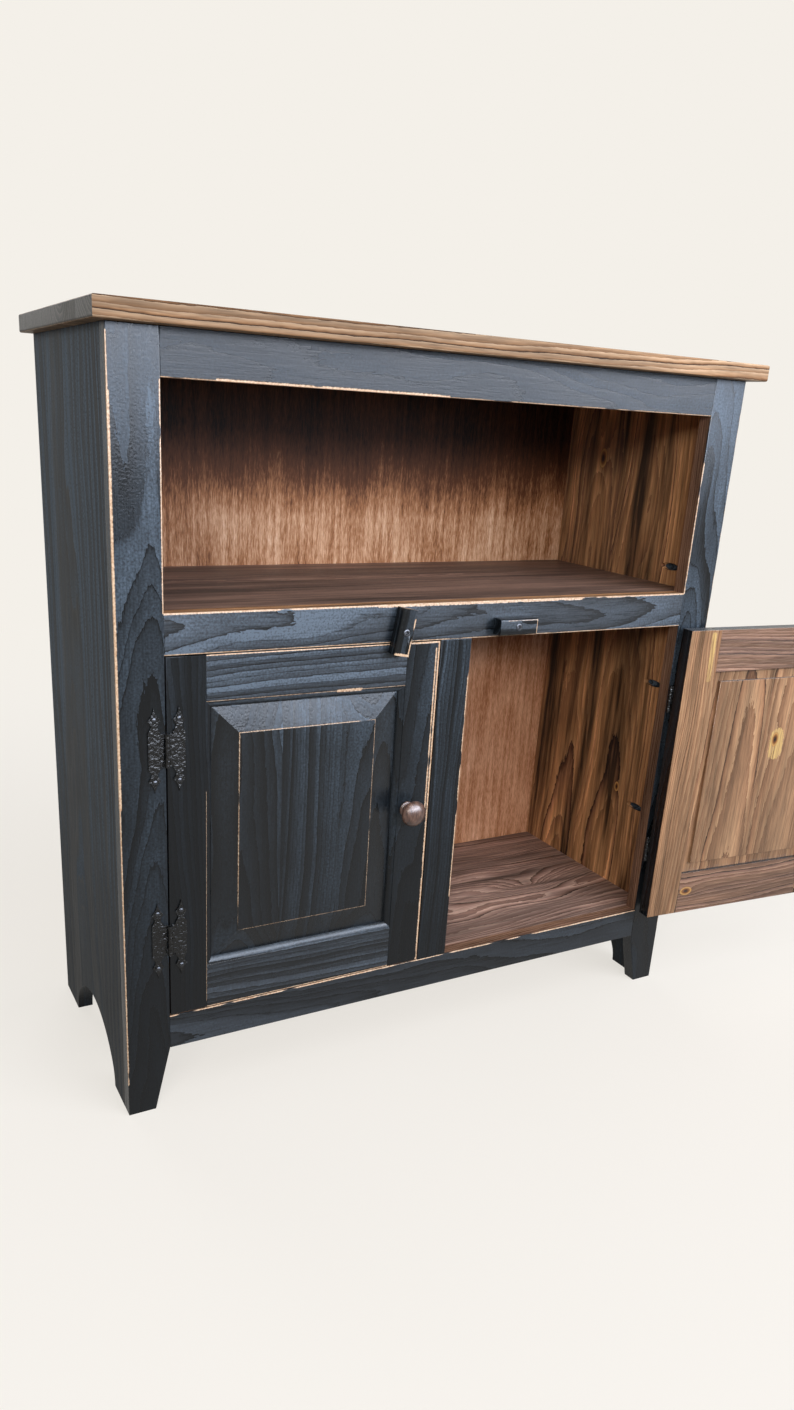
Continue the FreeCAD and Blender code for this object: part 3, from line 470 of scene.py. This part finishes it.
# What each board is cut from, and how it is finished.
BOARDS = {
    "top_board": dict(
        grain="xy", pith=(-195, 62), strips=[(-105, (-40, 24))], spacing=5.5, taper=0.01, seed=2,
        stain="oak", gloss=0.5, shine=0.15),
    "left_stile": dict(
        grain="z", pith=(8, 95), taper=0.05, wander=7, seed=3, haze=0.65, figured=0.9,
        paint=BLACK_FRONT + [(X, LOW, WRAP), BLACK_FEET],
        wear=[((0, 0, .45), (0, 0, .93), 2.6, .95), ((0, 0, .05), (0, 0, .99), 1.5, .85),
              ((1, 0, .69), (1, 0, .945), 1.6, .75)]),
    "right_stile": dict(
        grain="z", pith=(-10, 80), taper=0.04, wander=6, seed=4, haze=0.75, stain="rail",
        paint=BLACK_FRONT + [(X, HIGH, WRAP), BLACK_FEET],
        wear=[((0, 0, .69), (0, 0, .945), 1.4, .6), ((1, 0, .1), (1, 0, .97), 1, .4)]),
    "top_rail": dict(
        grain="x", pith=(-10, 70), seed=5, haze=0.3, figured=0.8, shine=0.2, paint=BLACK_FRONT,
        wear=[((.08, 0, 0), (.45, 0, 0), 2.6, .9), ((0, 0, 0), (1, 0, 0), 1.2, .6)]),
    "mid_rail": dict(
        grain="x", pith=(6, 60), taper=0.03, seed=6, haze=1, paint=BLACK_FRONT,
        wear=[((0, 0, 1), (1, 0, 1), 2, .8), ((.35, 0, 1), (.8, 0, 1), 3.2, .7),
              ((0, 0, 0), (1, 0, 0), 1.4, .9)]),
    "bottom_rail": dict(
        grain="x", pith=(-14, 60), seed=7, haze=1, stain="rail", paint=BLACK_FRONT + [(Z, LOW, WRAP)],
        wear=[((0, 0, 1), (1, 0, 1), 1.4, .6)]),
    "centre_stile": dict(
        grain="z", pith=(60, 30), spacing=3, seed=8, paint=BLACK_FRONT,
        wear=[((1, 0, .2), (1, 0, .9), 1.8, .55)]),
    "side_panel_left": dict(
        grain="zy", pith=(30, 90), strips=[(90, (180, 20))], seed=9, wander=8, gloss=0.65, haze=1.7,
        shine=0.16, paint=[(X, LOW, THROUGH_SIDE), BLACK_FEET]),
    "side_panel_right": dict(
        grain="zy", pith=(-34, 46), strips=[(20, (64, 38))], spacing=6, taper=0.045, seed=10, wander=9,
        gloss=0.65, haze=1.7, shine=0.16, paint=[(X, HIGH, THROUGH_SIDE), BLACK_FEET],
        knots=[(-150, -60, 5), (318, 62, 9)]),
    "shelf_middle": dict(grain="xy", pith=(30, 80), seed=11, stain="shelf", wander=8),
    "shelf_bottom": dict(
        grain="xy", pith=(-60, 60), seed=12, stain="dusty", wander=12, spacing=5,
        swirls=[(255, -30, 24), (120, 40, 14)]),
}
for side, seed in (("left", 20), ("right", 30)):
    free = 1 if side == "left" else 0
    inset = abs(free - .1)
    black = [(Y, LOW, THROUGH_DOOR)]
    BOARDS.update({
        side + "_door_hinge_stile": dict(
            grain="z", pith=(-40, 46), spacing=3, seed=seed, paint=black, haze=0.12, stain="milky",
            wear=[((free, 0, .02), (free, 0, .64), 0.8, .8)]),
        side + "_door_free_stile": dict(
            grain="z", pith=(14, 60), seed=seed + 1, paint=black, stain="milky", taper=0.04, haze=0.3,
            wear=[((free, 0, 0), (free, 0, 1), 2.4, .9), ((0, 0, 1), (1, 0, 1), 2, .9),
                  ((inset, 0, .5), (inset, 0, .98), 1.2, .8)]),
        side + "_door_top_rail": dict(
            grain="x", pith=(95, 50), spacing=4.5, seed=seed + 2, paint=black, haze=1, stain="rail",
            wear=[((0, 0, 1), (1, 0, 1), 1.3, .8), ((0, 0, 0), (1, 0, 0), 1, .9),
                  ((.64, 0, 0), (.76, 0, 0), 2.2, .75)]),
        side + "_door_bottom_rail": dict(
            grain="x", pith=(-90, 45), spacing=5, seed=seed + 3, paint=black, haze=1.7, stain="rail",
            gloss=0.38, shine=0.32, wear=[((0, 0, 0), (1, 0, 0), 1.5, .8)]),
        side + "_door_panel": dict(
            grain="z", pith=(-85, 60), strips=[(-32, (300, 0)), (41, (80, 60))], spacing=5, taper=0.03,
            seed=seed + 4, paint=[(Y, LOW, PANEL_FACE)], haze=0.65, shine=0.33, stain="milky",
            wear=[((0, 0, 0), (0, 0, 1), 0.8, .85), ((1, 0, 0), (1, 0, 1), 0.8, .85),
                  ((0, 0, 0), (1, 0, 0), 0.8, .85), ((0, 0, 1), (1, 0, 1), 0.8, .8)]),
    })
# The right door stands open, and its inner face shows sapwood and knots of its own.
BOARDS["right_door_hinge_stile"].update(sap=[((.12, 1, .985), (.08, 1, .84), 4, .8)])
BOARDS["right_door_panel"].update(pith=(-60, 90), strips=[(4, (38, 60))], spacing=7, taper=0.045, wander=4,
                                  knots=[(44, -19, 7)], sap=[((.36, 1, .61), (.37, 1, .7), 13, 1)])
BOARDS["right_door_bottom_rail"].update(knots=[(100, 6, 7)])
for side, rubbed in (("left", 3), ("right", 1.2)):
    BOARDS[side + "_turn_button"] = dict(
        grain="z", pith=(4, 20), spacing=2.4, seed=50, haze=0.25, gloss=0.35,
        paint=[(Y, LOW, THROUGH_BUTTON)],
        wear=[((0, 0, 0), (1, 0, 0), rubbed, .9), ((1, 0, 0), (1, 0, .8), rubbed / 2, .7)])
for name, board in BOARDS.items():
    sanded(name, board_material(name, **board))


# ---- iron, steel and turned pieces ----

def metal(name, colour, metallic, roughness, dent, depth, shine=0.5):
    """Metal whose colour, gloss and surface all vary over dents of one size, in millimetres."""
    material, tree, surface = new_material(name)
    place = shut_place(tree, "carcass")
    dents = add(tree, "TexNoise", {"Vector": place, "Scale": 1 / dent, "Detail": 2})
    dark, light = ([channel * share for channel in shade(colour)[:3]] + [1] for share in (0.7, 1.3))
    tint = add(tree, "Mix", [dents, dark, light], data_type="RGBA")
    tree.links.new(tint.outputs[2], surface.inputs["Base Color"])
    matt = add(tree, "Math", [dents, 0.3, roughness - 0.15], operation="MULTIPLY_ADD")
    tree.links.new(matt.outputs[0], surface.inputs["Roughness"])
    emboss(tree, surface, dents, depth)
    surface.inputs["Metallic"].default_value = metallic
    surface.inputs["Specular IOR Level"].default_value = shine
    return material


# Forged and blackened: hammer dents of about 3 mm catch small highlights.
IRON = metal("hammered black iron", "#060708", 0, 0.24, 3.2, 1.6, 0.3)
NAIL = metal("blackened nail", "#34363A", 0.7, 0.25, 3, 0.3)
ZINC = metal("zinc plated steel", "#A9ACB0", 1, 0.4, 0.8, 0.03)
BRIGHT = metal("bright drawn wire", "#9A9B9D", 1, 0.35, 0.6, 0.02)


def turned(profile, centre, sides=40):
    """A solid turned about an axis that runs out of the front, through centre.

    profile is (radius, out) and centre a point, both in millimetres."""
    shape = bmesh.new()
    rings = []
    for radius, out in profile:
        count = sides if radius else 1
        turns = [2 * math.pi * step / count for step in range(count)]
        spots = [Vector((radius * math.cos(turn), -out, radius * math.sin(turn))) for turn in turns]
        rings.append([shape.verts.new((spot + centre) * MM) for spot in spots])
    for near, far in zip(rings, rings[1:]):
        for step in range(sides):
            corners = [near[step % len(near)], near[(step + 1) % len(near)],
                       far[(step + 1) % len(far)], far[step % len(far)]]
            face = shape.faces.new(list(dict.fromkeys(corners)))
            face.smooth = True
    bmesh.ops.recalc_face_normals(shape, faces=shape.faces)
    return shape


def together(shapes):
    """Several shapes as one."""
    whole = bmesh.new()
    for shape in shapes:
        part = bpy.data.meshes.new("part")
        shape.to_mesh(part)
        whole.from_mesh(part)
        shape.free()
        bpy.data.meshes.remove(part)
    return whole


def at_rest(name, shape):
    """Turn a shape made in the shut place to its node's rest place."""
    shape.transform(to_rest(body_of[name]))
    return shape


HEAD_RADIUS, HEAD_HEIGHT = 3.1, 1.9
DOME = [(0, -3), (1.1, -3), (1.1, 0), (HEAD_RADIUS, 0)] + [
    (HEAD_RADIUS * math.cos(math.radians(lift)), HEAD_HEIGHT * math.sin(math.radians(lift)))
    for lift in (12, 26, 40, 54, 68, 80)
] + [(0, HEAD_HEIGHT)]
for name in nodes:
    if name.endswith("_nails"):
        low, high = extent(shut_points(name))
        middle = (low + high) / 2
        heads = []
        for half in (LOW, HIGH):
            own = [p for p in shut_points(name) if (p.z > middle.z) == bool(half)]
            own_low, own_high = extent(own)
            spot = (own_low + own_high) / 2
            heads.append(turned(DOME, Vector((spot.x, low.y + HEAD_HEIGHT, spot.z)), sides=20))
        finished(name, at_rest(name, together(heads)), NAIL)
    elif name.endswith("_leaf"):
        sanded(name, IRON, ease=0.35, shortest=0.6)
    elif name.endswith("_hinge_pin"):
        sanded(name, IRON, ease=0.25, shortest=0.2)

KNOB = [(0, 0), (9.2, 0), (9.6, 0.6), (9.4, 1.3), (8.2, 1.8), (7, 2.8), (6.5, 4.2), (6.4, 6), (6.5, 8.2),
        (7.4, 10.4), (10, 12.6), (13.2, 14.3), (15.2, 15.8), (16, 17.4), (15.7, 19.2), (14.3, 21.6),
        (11.6, 23.9), (8, 25.6), (4, 26.7), (0, 27)]


def knob_material():
    """Beech, stained grey-brown and lacquered: fine grain across the face, satin highlights."""
    material, tree, surface = new_material("lacquered beech")
    place = shut_place(tree, "carcass")
    grain = noise(tree, place, (2.2, 14, 9), 3)
    colour = add(tree, "ValToRGB", [grain], stops=[(0.3, "#35251F"), (0.5, "#593F35"), (0.7, "#785D50")])
    tree.links.new(colour.outputs[0], surface.inputs["Base Color"])
    emboss(tree, surface, grain, 0.15)
    surface.inputs["Roughness"].default_value = 0.28
    return material


BEECH = knob_material()
for side in ("left", "right"):
    name = side + "_knob"
    low, high = extent(shut_points(name))
    door_face = extent(shut_points(side + "_door_free_stile"))[0].y
    centre = Vector(((low.x + high.x) / 2, door_face, (low.z + high.z) / 2))
    finished(name, at_rest(name, turned(KNOB, centre, sides=56)), BEECH)


def cut(shape, tool):
    """The shape with the tool's shape cut away."""
    pieces = []
    for part in (shape, tool):
        mesh = bpy.data.meshes.new("part")
        part.to_mesh(mesh)
        part.free()
        pieces.append(bpy.data.objects.new("part", mesh))
        scene.collection.objects.link(pieces[-1])
    trim = pieces[0].modifiers.new("cut", "BOOLEAN")
    trim.operation = "DIFFERENCE"
    trim.object = pieces[1]
    mesh = bpy.data.meshes.new_from_object(pieces[0].evaluated_get(bpy.context.evaluated_depsgraph_get()))
    kept = bmesh.new()
    kept.from_mesh(mesh)
    for piece in pieces:
        bpy.data.objects.remove(piece)
    return kept


# The screws that the buttons turn on, with two crossed slots in the head.
BLACKENED = metal("blackened steel", "#454649", 1, 0.36, 0.8, 0.03)
SCREW_HEAD = [(0, -29), (2.1, -29), (2.1, -2.1), (4.1, -0.1), (4.2, 0.1), (3.9, 0.35), (2.5, 0.6), (0, 0.7)]
SLOT = (4.8, 2.6, 2)  # length, depth through the head's face, width
for side in ("left", "right"):
    name = side + "_turn_button_screw"
    low, high = extent(shut_points(name))
    centre = Vector(((low.x + high.x) / 2, low.y, (low.z + high.z) / 2))
    head = turned(SCREW_HEAD, centre, sides=32)
    # One slot at a time: two crossing slots as one tool cut the whole head away.
    for turn in (20, 110):
        slot = bmesh.new()
        place = Matrix.Translation(centre * MM) @ Matrix.Rotation(math.radians(turn), 4, "Y")
        bmesh.ops.create_cube(slot, size=MM, matrix=place @ Matrix.Diagonal((*SLOT, 1)))
        head = cut(head, slot)
    finished(name, at_rest(name, head), BLACKENED)
for name, node in nodes.items():
    if "screw" in name:
        node.material_slots[0].material = ZINC
    elif name.endswith("brads"):
        node.material_slots[0].material = BRIGHT


# ---- plywood back ----

def plywood_material():
    """Walnut-stained birch plywood, rotary cut: short upright flecks over slow warm clouds, satin."""
    material, tree, surface = new_material("stained birch plywood")
    place = shut_place(tree, "carcass")
    fleck = noise(tree, place, (1.1, 40, 10), 2, 0.7)
    streak = noise(tree, place, (6, 40, 160), 3)
    cloud = noise(tree, place, (60, 40, 110), 3)
    # The inner face is painted darker under the top, a painted shade where the cubby's upper back lies in
    # shadow, and more reddish and lighter below the shelf, a painted light in the lower cupboard.
    sides = add(tree, "SeparateXYZ", [place]).outputs
    low, high = extent(shut_points("back_panel"))
    inside = add(tree, "Math", [sides["Y"], (low.y + high.y) / 2], operation="LESS_THAN")
    painted_shade_under_top = add(tree, "MapRange", {"Value": sides["Z"], "From Min": 645, "From Max": 760,
                                    "To Min": 0, "To Max": -0.3})
    tint = add(tree, "Math", [inside, painted_shade_under_top, 0.03], operation="MULTIPLY_ADD")
    for pattern, weight in ((streak, 0.3), (cloud, 0.26), (fleck, 0.4)):
        tint = add(tree, "Math", [pattern, weight, tint], operation="MULTIPLY_ADD")
    colour = add(tree, "ValToRGB", [tint], stops=[
        (0.12, "#120A06"), (0.36, "#5A3620"), (0.47, "#9C6C49"), (0.58, "#CBA281"), (0.74, "#F0D8C2")])
    painted_light_below_shelf = add(tree, "MapRange", {"Value": sides["Z"], "From Min": 560, "From Max": 420})
    painted_light_below_shelf = add(tree, "Math", [painted_light_below_shelf, inside], operation="MULTIPLY")
    # painted light below the shelf: a reddish tint, and a gamma lift that lightens the colour there
    warm = add(tree, "Mix", [1, colour, shade("#FFD6BC")], data_type="RGBA", blend_type="MULTIPLY")
    colour = add(tree, "Mix", [painted_light_below_shelf, colour, warm], data_type="RGBA")
    lift = add(tree, "MapRange", {"Value": painted_light_below_shelf, "To Min": 1, "To Max": 0.7})
    colour = add(tree, "Gamma", {"Color": colour.outputs[2], "Gamma": lift})
    tree.links.new(colour.outputs[0], surface.inputs["Base Color"])
    emboss(tree, surface, fleck, 0.1)
    surface.inputs["Roughness"].default_value = 0.5
    surface.inputs["Specular IOR Level"].default_value = 0.06
    return material


nodes["back_panel"].material_slots[0].material = plywood_material()


# ---- floor and light ----

def cream_to_the_eye(tree, plain, seen):
    """Rays from the camera, gloss and glass meet the cream backdrop; the rest meet the plain studio."""
    path = add(tree, "LightPath").outputs
    direct = add(tree, "Math", [path["Is Camera Ray"], path["Is Glossy Ray"]], operation="MAXIMUM")
    direct = add(tree, "Math", [direct, path["Is Transmission Ray"]], operation="MAXIMUM")
    return add(tree, "MixShader", [direct, plain, seen])


def build_stage():
    """A wide paper floor that takes the cupboard's shadow and glows into the backdrop further out."""
    mesh = bpy.data.meshes.new("floor")
    half = 30
    corners = [(-half, -half, 0), (half, -half, 0), (half, half, 0), (-half, half, 0)]
    mesh.from_pydata(corners, [], [(0, 1, 2, 3)])
    floor = bpy.data.objects.new("floor", mesh)
    scene.collection.objects.link(floor)
    material, tree, surface = new_material("cream paper floor")
    surface.inputs["Base Color"].default_value = shade("#504E4A")
    surface.inputs["Roughness"].default_value = 1
    surface.inputs["Specular IOR Level"].default_value = 0
    paper = add(tree, "BsdfDiffuse", {"Color": shade("#FAF6F0")})
    glow = add(tree, "Emission", {"Color": shade("#F4F0E9"), "Strength": 1})
    spot = add(tree, "TexCoord").outputs["Object"]
    away = add(tree, "VectorMath", [spot, (0.4, 0.15, 0)], operation="DISTANCE")
    lit = add(tree, "MapRange", {"Value": away, "From Min": 0.7, "From Max": 2.6,
                                 "To Min": 0.74, "To Max": 1}, interpolation_type="SMOOTHSTEP")
    seen = add(tree, "MixShader", [lit, paper, glow])
    mixed = cream_to_the_eye(tree, surface.outputs[0], seen)
    tree.links.new(mixed.outputs[0], tree.nodes["Material Output"].inputs["Surface"])
    mesh.materials.append(material)


def build_light():
    """A dim studio, six soft lamps, and a card that lights only reflections."""
    world = bpy.data.worlds.new("studio")
    scene.world = world
    world.use_nodes = True
    tree = world.node_tree
    plain = tree.nodes["Background"]
    plain.inputs["Color"].default_value = shade("#E8EDF2")
    plain.inputs["Strength"].default_value = 0.07
    seen = add(tree, "Background", {"Color": shade("#F4F0E9"), "Strength": 1})
    mixed = cream_to_the_eye(tree, plain, seen)
    tree.links.new(mixed.outputs[0], tree.nodes["World Output"].inputs["Surface"])
    for name, size, power, spot, aim, colour in (
            ("front softbox", (3.2, 0.5), 84, (1.6, -2.4, 1.45), (0.45, 0, 0.5), "#F4F6FF"),
            ("overhead softbox", (3, 1.6), 30, (0.4, -1.4, 2.7), (0.4, 0.1, 0.4), "#F8FAFF"),
            ("left fill", (1.2, 0.6), 42, (-1.6, -2.3, 1.6), (0.6, 0.1, 0.5), "#FFF8F0"),
            ("left side fill", (1.2, 1.6), 5, (-2.2, 0.3, 1.6), (0, 0.15, 0.6), "#F4F7FF"),
            ("right side fill", (1.2, 1.6), 14, (3.2, 0.5, 1.6), (0.8, 0.15, 0.5), "#F4F7FF"),
            ("rear softbox", (3, 1.5), 46, (0.4, 2.7, 1.9), (0.4, 0.3, 0.4), "#F8FAFF"),
            ("gloss card", (4.6, 3.04), 520, (1.4, -2.4, 2.2), (1.4, 0, 2.2), "#DCE8FC")):
        lamp = bpy.data.lights.new(name, "AREA")
        lamp.shape = "RECTANGLE"
        lamp.size, lamp.size_y = size
        lamp.energy = power
        lamp.color = shade(colour)[:3]
        box = bpy.data.objects.new(name, lamp)
        box.location = spot
        box.rotation_euler = (Vector(aim) - box.location).to_track_quat("-Z", "Y").to_euler()
        box.visible_diffuse = name != "gloss card"
        scene.collection.objects.link(box)

    # The card gives upright faces their sheen. From behind, the flat top would mirror it and turn white.
    unlit = bpy.data.collections.new("not lit by the gloss card")
    unlit.objects.link(bpy.data.objects["top_board_finished"])
    unlit.collection_objects[0].light_linking.link_state = "EXCLUDE"
    bpy.data.objects["gloss card"].light_linking.receiver_collection = unlit


place_camera()
build_stage()
build_light()
